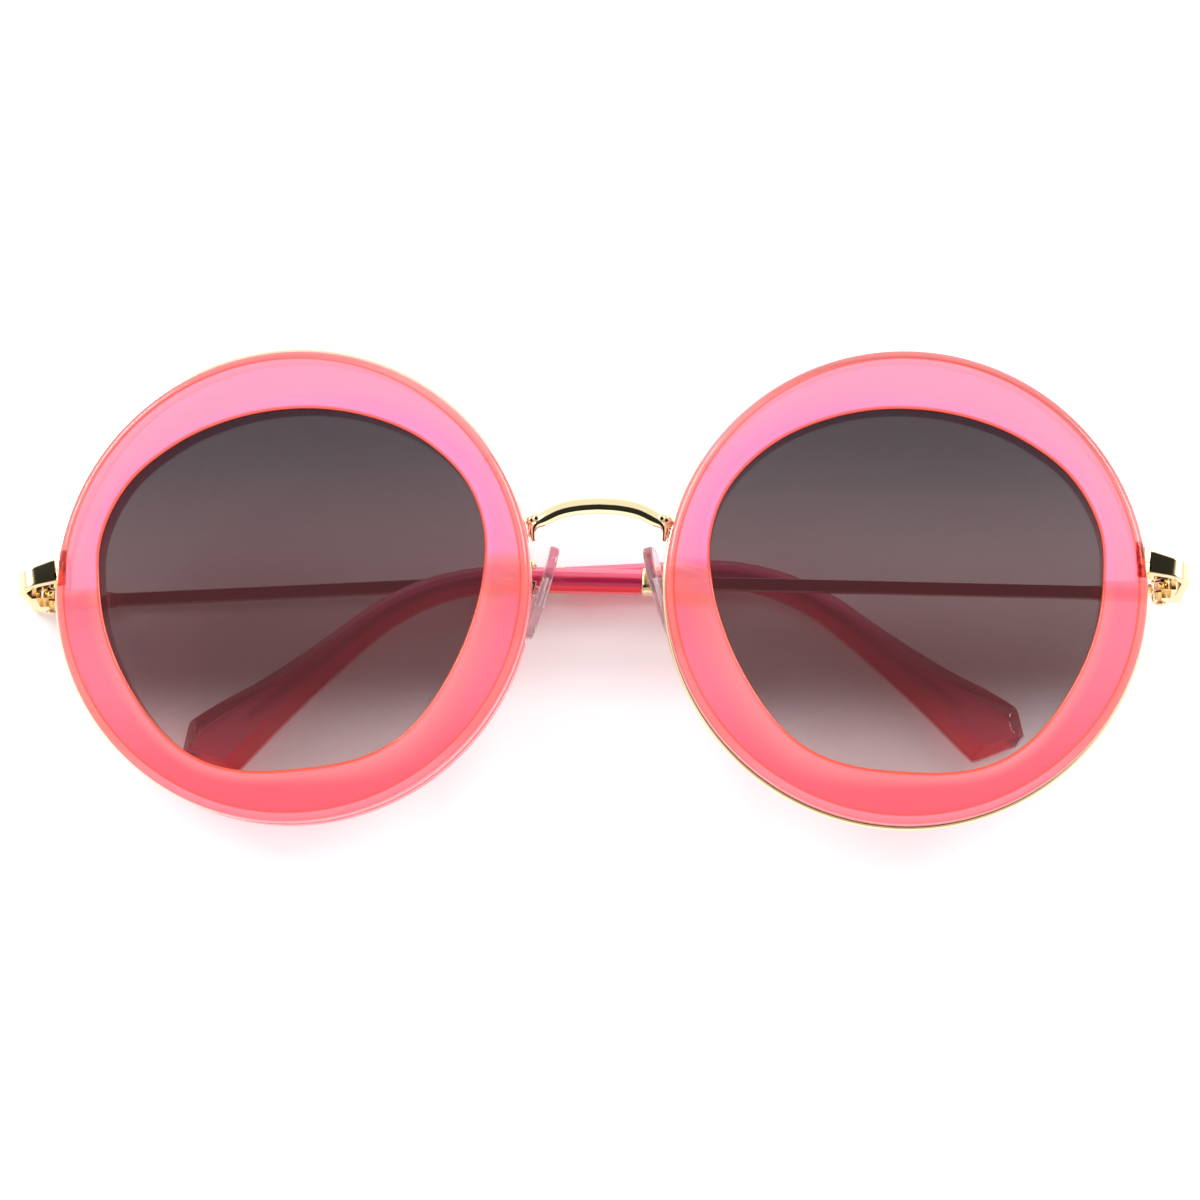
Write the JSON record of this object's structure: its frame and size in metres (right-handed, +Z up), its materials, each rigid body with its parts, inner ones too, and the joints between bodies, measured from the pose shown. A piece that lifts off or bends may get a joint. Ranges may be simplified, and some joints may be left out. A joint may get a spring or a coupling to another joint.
{
  "type": "folded sunglasses",
  "caption": "Round oversize sunglasses with thick translucent rims, wire eyewires and bridge, rocking nose pads and hinged temples, folded.",
  "frame": {"origin": "middle of the folded spectacles' footprint, on the table they lie on", "axes": "+X from the wearer's right temple to the left, along the front; +Y up the front, from the rims' bottoms to the bridge; +Z up from the table"},
  "size_m": [0.1506, 0.0616, 0.0257],
  "materials": {
    "pink_plastic": "polished translucent pink",
    "tinted_lens": "polished, tint fading downwards",
    "gold_metal": "pale gold plate, polished",
    "pink_tip": "polished transparent deep pink",
    "clear_pad": "clear, smooth"
  },
  "bodies": {
    "front": {"bridge": "gold_metal", "left_closing_block_lower": "gold_metal", "left_closing_block_upper": "gold_metal", "left_closing_screw": "gold_metal", "left_end_piece": "gold_metal", "left_eyewire": "gold_metal", "left_front_hinge": "gold_metal", "left_hinge_screw": "gold_metal", "left_lens": "tinted_lens", "left_pad_arm": "gold_metal", "left_pad_box": "gold_metal", "left_pad_screw": "gold_metal", "left_rim": "pink_plastic", "right_closing_block_lower": "gold_metal", "right_closing_block_upper": "gold_metal", "right_closing_screw": "gold_metal", "right_end_piece": "gold_metal", "right_eyewire": "gold_metal", "right_front_hinge": "gold_metal", "right_hinge_screw": "gold_metal", "right_lens": "tinted_lens", "right_pad_arm": "gold_metal", "right_pad_box": "gold_metal", "right_pad_screw": "gold_metal", "right_rim": "pink_plastic"},
    "left_temple": {"left_ferrule": "gold_metal", "left_temple_bar": "gold_metal", "left_temple_hinge": "gold_metal", "left_temple_tip": "pink_tip"},
    "left_pad": {"left_nose_pad": "clear_pad"},
    "right_temple": {"right_ferrule": "gold_metal", "right_temple_bar": "gold_metal", "right_temple_hinge": "gold_metal", "right_temple_tip": "pink_tip"},
    "right_pad": {"right_nose_pad": "clear_pad"}
  },
  "joints": [
    {"name": "left_temple_hinge_joint", "type": "hinge", "parent": "front", "child": "left_temple", "pos_m": [0.07229, 0.00316, 0.01172], "axis": [0.0242, -0.9993, -0.0287], "range_deg": [0, 92.3]},
    {"name": "right_temple_hinge_joint", "type": "hinge", "parent": "front", "child": "right_temple", "pos_m": [-0.07206, 0.00168, 0.00285], "axis": [-0.0242, 0.9993, 0.0287], "range_deg": [0, 89.2]},
    {"name": "left_pad_rock", "type": "hinge", "parent": "front", "child": "left_pad", "pos_m": [0.00972, 0.00179, 0.01121], "axis": [-0.1913, -0.2051, 0.9598], "range_deg": [-8, 8]},
    {"name": "right_pad_rock", "type": "hinge", "parent": "front", "child": "right_pad", "pos_m": [-0.00985, 0.00179, 0.01004], "axis": [0.0757, -0.2051, 0.9758], "range_deg": [-8, 8]}
  ]
}
